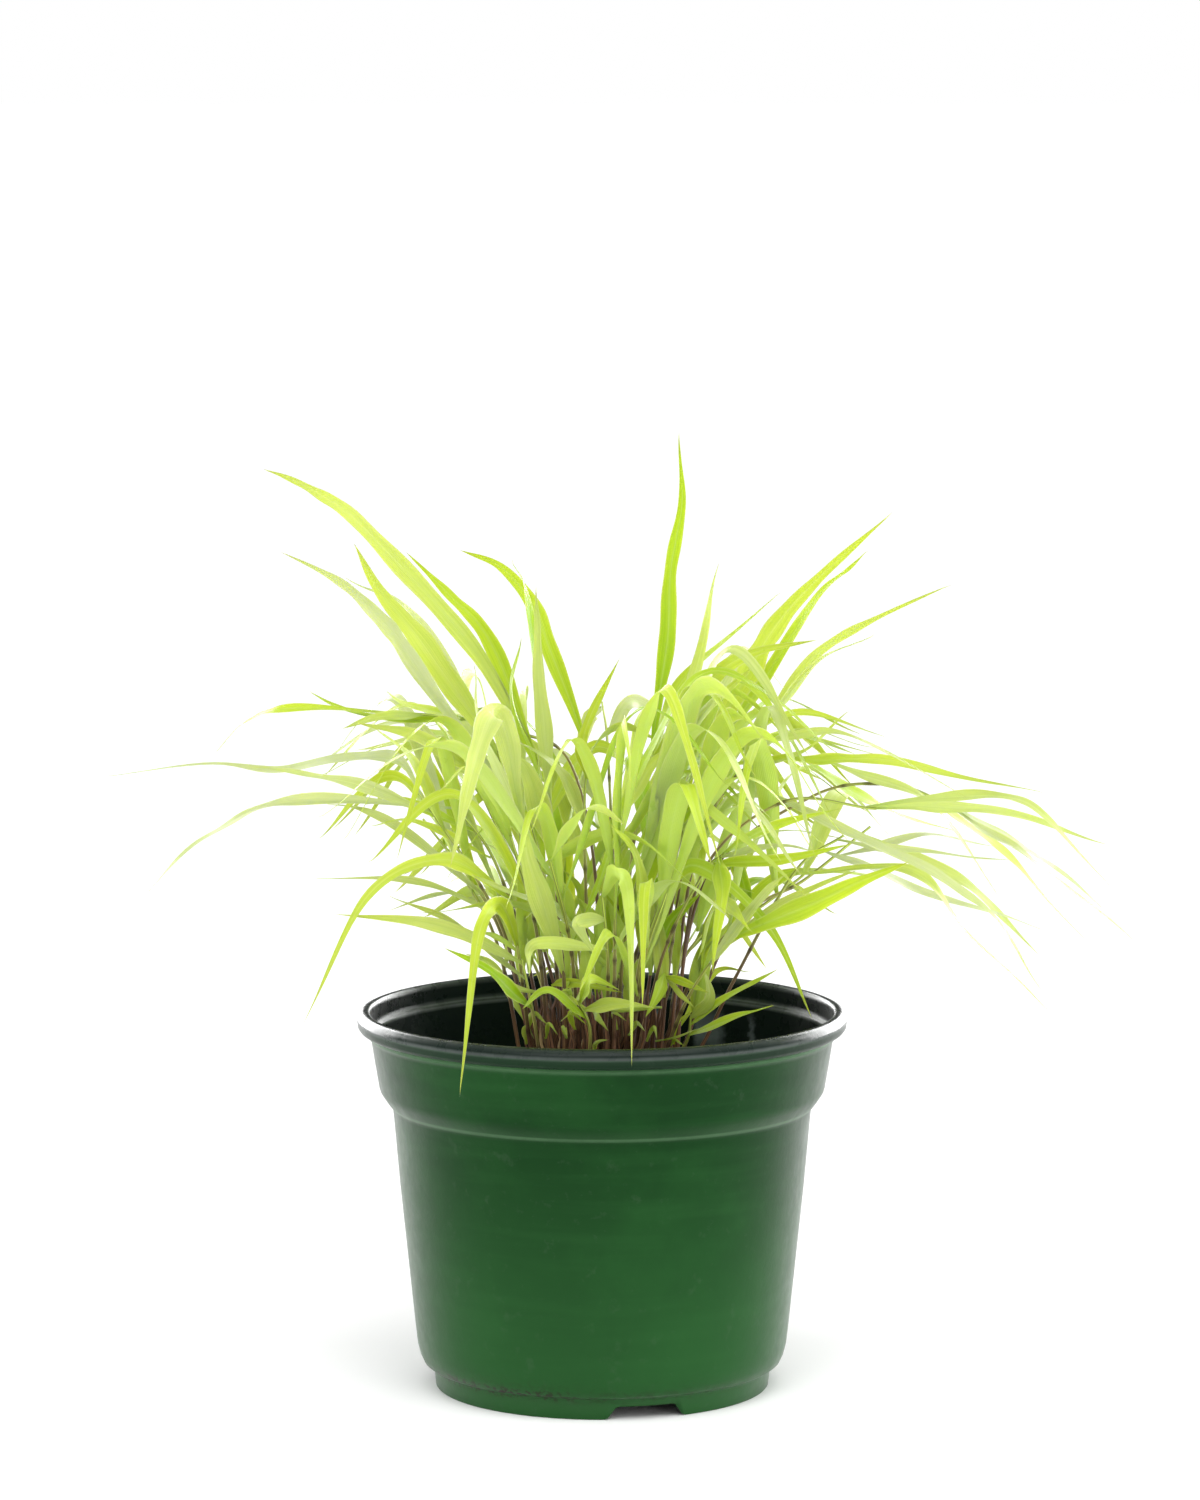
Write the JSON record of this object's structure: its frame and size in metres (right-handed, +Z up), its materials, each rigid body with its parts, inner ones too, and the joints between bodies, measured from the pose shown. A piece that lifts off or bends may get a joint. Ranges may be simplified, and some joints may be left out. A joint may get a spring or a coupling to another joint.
{
  "type": "potted japanese forest grass",
  "caption": "Arching clump of lime-yellow forest grass in a round green nursery pot with a black rolled lip, standing on its foot ring.",
  "frame": {"origin": "middle of the foot ring's underside, under the middle of the object's outline seen from above", "axes": "+Z up, -Y towards the viewer of the picture, +X to that viewer's right, along the widest spread"},
  "size_m": [0.3465, 0.2904, 0.3214],
  "materials": {
    "pot_plastic": "satin moulded plastic, green outside and black on the lip and inside",
    "potting_mix": "rough, damp",
    "grass": "soft sheen, ribbed along the blade"
  },
  "bodies": {
    "root": {"pot": "pot_plastic", "potting_mix": "potting_mix", "stem_back_drooping": "grass", "stem_front_drooping": "grass", "stem_front_hanging": "grass", "stem_front_inner": "grass", "stem_left_arc": "grass", "stem_left_basal": "grass", "stem_left_inner": "grass", "stem_left_long": "grass", "stem_left_low": "grass", "stem_left_spread": "grass", "stem_middle_right": "grass", "stem_middle_upright": "grass", "stem_right_basal": "grass", "stem_right_curling": "grass", "stem_right_fine": "grass", "stem_right_high": "grass", "stem_right_long": "grass", "stem_right_low_back": "grass", "stem_right_low_front": "grass", "stem_right_middle": "grass", "stem_right_reaching": "grass", "stem_right_spread": "grass", "stem_shoot_front": "grass", "stem_shoot_right": "grass", "stem_tallest": "grass", "stem_top_left_long": "grass", "stem_top_left_wide": "grass", "stem_top_middle": "grass", "stem_top_right_narrow": "grass", "stem_top_right_wide": "grass", "tiller_01": "grass", "tiller_02": "grass", "tiller_03": "grass", "tiller_04": "grass", "tiller_05": "grass", "tiller_06": "grass", "tiller_07": "grass", "tiller_08": "grass", "tiller_09": "grass", "tiller_10": "grass", "tiller_12": "grass", "tiller_13": "grass", "tiller_14": "grass", "tiller_15": "grass", "tiller_16": "grass", "tiller_18": "grass", "tiller_19": "grass", "tiller_24": "grass", "tiller_25": "grass", "tiller_26": "grass", "tiller_27": "grass", "tiller_28": "grass"}
  },
  "joints": []
}
